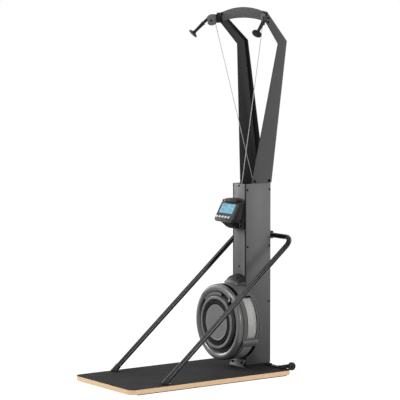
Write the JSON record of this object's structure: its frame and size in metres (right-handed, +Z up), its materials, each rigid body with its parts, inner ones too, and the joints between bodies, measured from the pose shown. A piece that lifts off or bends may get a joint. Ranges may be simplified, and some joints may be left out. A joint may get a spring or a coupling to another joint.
{
  "type": "ski trainer machine",
  "caption": "Standing ski trainer: platform, covered steel column with fan flywheel, spread arms with arch band, pull handles on cords, console and bent tube brace.",
  "frame": {"origin": "on the floor below the middle of the platform", "axes": "+Z up, +Y the way the user faces, from the platform to the column, +X to the user's right"},
  "size_m": [0.685, 1.1741, 2.1315],
  "materials": {
    "plywood": "clear satin lacquer on birch ply",
    "mat_film": "fine pebbled anti-slip film",
    "rubber": "matte",
    "coated_steel": "fine-textured powder coat",
    "dark_steel": "satin black powder coat",
    "housing_metal": "grey powder coat",
    "bare_steel": "brushed",
    "shell_plastic": "satin moulded plastic",
    "disc_plastic": "finely perforated moulded plastic",
    "black_plastic": "moulded",
    "console_plastic": "fine moulded grain",
    "mesh_metal": "perforated sheet",
    "cord": "braided cord",
    "screen": "display window",
    "button": "soft keys"
  },
  "bodies": {
    "frame": {"platform_board": "plywood", "platform_mat": "mat_film", "foot_strip_front": "rubber", "foot_strip_middle": "rubber", "foot_strip_rear": "rubber", "base_plate": "dark_steel", "inner_mast": "dark_steel", "front_cover": "coated_steel", "side_cover_right": "coated_steel", "side_cover_left": "coated_steel", "front_foot_bracket": "bare_steel", "arm_right": "coated_steel", "arm_left": "coated_steel", "arch_band": "coated_steel", "pulley_housing_right": "housing_metal", "pulley_housing_left": "housing_metal", "pulley_cap_right": "housing_metal", "pulley_cap_left": "housing_metal", "pulley_bracket_right": "dark_steel", "pulley_bracket_left": "dark_steel", "pull_cord_right": "cord", "pull_cord_left": "cord", "cord_guide": "black_plastic", "brace_tube": "dark_steel", "brace_foot_right": "dark_steel", "brace_foot_left": "dark_steel", "brace_clamp": "dark_steel", "fan_rear_shell": "shell_plastic", "mesh_band_right": "mesh_metal", "mesh_band_left": "mesh_metal", "fan_front_ring": "shell_plastic", "vent_ring": "black_plastic", "centre_disc": "disc_plastic", "shaft_bearing_front": "bare_steel", "shaft_bearing_rear": "bare_steel", "hood": "shell_plastic", "console_hinge_pin": "bare_steel", "console_cradle": "console_plastic"},
    "transport_wheel_right": {"transport_wheel_right": "rubber"},
    "transport_wheel_left": {"transport_wheel_left": "rubber"},
    "flywheel": {"flywheel_fan": "bare_steel", "flywheel_shaft": "bare_steel"},
    "cord_drum_right": {"cord_drum_right": "black_plastic"},
    "cord_drum_left": {"cord_drum_left": "black_plastic"},
    "top_pulley_right": {"top_pulley_right": "black_plastic"},
    "top_pulley_left": {"top_pulley_left": "black_plastic"},
    "handle_right": {"handle_grip_right": "rubber", "handle_flange_right": "black_plastic"},
    "handle_left": {"handle_grip_left": "rubber", "handle_flange_left": "black_plastic"},
    "damper": {"damper_ring": "black_plastic"},
    "console": {"console_front_shell": "console_plastic", "console_rear_shell": "console_plastic", "console_screen": "screen"},
    "button_1": {"console_button_1": "button"},
    "button_2": {"console_button_2": "button"},
    "button_3": {"console_button_3": "button"},
    "button_4": {"console_button_4": "button"},
    "button_5": {"console_button_5": "button"}
  },
  "joints": [
    {"name": "transport_wheel_right_turn", "type": "hinge", "parent": "frame", "child": "transport_wheel_right", "pos_m": [0.2533, 0.588, 0.0435], "axis": [1, 0, 0], "continuous": true},
    {"name": "transport_wheel_left_turn", "type": "hinge", "parent": "frame", "child": "transport_wheel_left", "pos_m": [-0.2533, 0.588, 0.0435], "axis": [1, 0, 0], "continuous": true},
    {"name": "flywheel_turn", "type": "hinge", "parent": "frame", "child": "flywheel", "pos_m": [0, 0.34, 0.303], "axis": [0, 1, 0], "continuous": true},
    {"name": "handle_right_pull", "type": "slide", "parent": "frame", "child": "handle_right", "axis": [0.2483, -0.6712, -0.6984], "range_m": [0, 1.2], "stiffness_N_per_m": 5, "springref_m": -3},
    {"name": "handle_left_pull", "type": "slide", "parent": "frame", "child": "handle_left", "axis": [-0.2483, -0.6712, -0.6984], "range_m": [0, 1.2], "stiffness_N_per_m": 5, "springref_m": -3},
    {"name": "top_pulley_right_turn", "type": "hinge", "parent": "frame", "child": "top_pulley_right", "pos_m": [0.2526, 0.3773, 2.0548], "axis": [0.5446, 0.8387, 0], "range_deg": [0, 2945]},
    {"name": "top_pulley_left_turn", "type": "hinge", "parent": "frame", "child": "top_pulley_left", "pos_m": [-0.2526, 0.3773, 2.0548], "axis": [0.5446, -0.8387, 0], "range_deg": [0, 2945]},
    {"name": "cord_drum_right_turn", "type": "hinge", "parent": "frame", "child": "cord_drum_right", "pos_m": [0, 0.4115, 0.303], "axis": [0, -1, 0], "range_deg": [0, 2945]},
    {"name": "cord_drum_left_turn", "type": "hinge", "parent": "frame", "child": "cord_drum_left", "pos_m": [0, 0.502, 0.303], "axis": [0, -1, 0], "range_deg": [0, 2945]},
    {"name": "damper_turn", "type": "hinge", "parent": "frame", "child": "damper", "pos_m": [0, 0.248, 0.303], "axis": [0, 1, 0], "range_deg": [-25, 25]},
    {"name": "console_tilt", "type": "hinge", "parent": "frame", "child": "console", "pos_m": [0, 0.368, 0.862], "axis": [1, 0, 0], "range_deg": [0, 10]},
    {"name": "button_1_press", "type": "slide", "parent": "console", "child": "button_1", "axis": [0, 0.8729, -0.4879], "range_m": [0, 0.0015], "stiffness_N_per_m": 400},
    {"name": "button_2_press", "type": "slide", "parent": "console", "child": "button_2", "axis": [0, 0.8729, -0.4879], "range_m": [0, 0.0015], "stiffness_N_per_m": 400},
    {"name": "button_3_press", "type": "slide", "parent": "console", "child": "button_3", "axis": [0, 0.8729, -0.4879], "range_m": [0, 0.0015], "stiffness_N_per_m": 400},
    {"name": "button_4_press", "type": "slide", "parent": "console", "child": "button_4", "axis": [0, 0.8729, -0.4879], "range_m": [0, 0.0015], "stiffness_N_per_m": 400},
    {"name": "button_5_press", "type": "slide", "parent": "console", "child": "button_5", "axis": [0, 0.8729, -0.4879], "range_m": [0, 0.0015], "stiffness_N_per_m": 400}
  ],
  "couplings": [
    {"joint": "top_pulley_right_turn", "follows": "handle_right_pull", "rad_per_m": 42.735},
    {"joint": "top_pulley_left_turn", "follows": "handle_left_pull", "rad_per_m": 42.735},
    {"joint": "cord_drum_right_turn", "follows": "handle_right_pull", "rad_per_m": 42.735},
    {"joint": "cord_drum_left_turn", "follows": "handle_left_pull", "rad_per_m": 42.735}
  ]
}
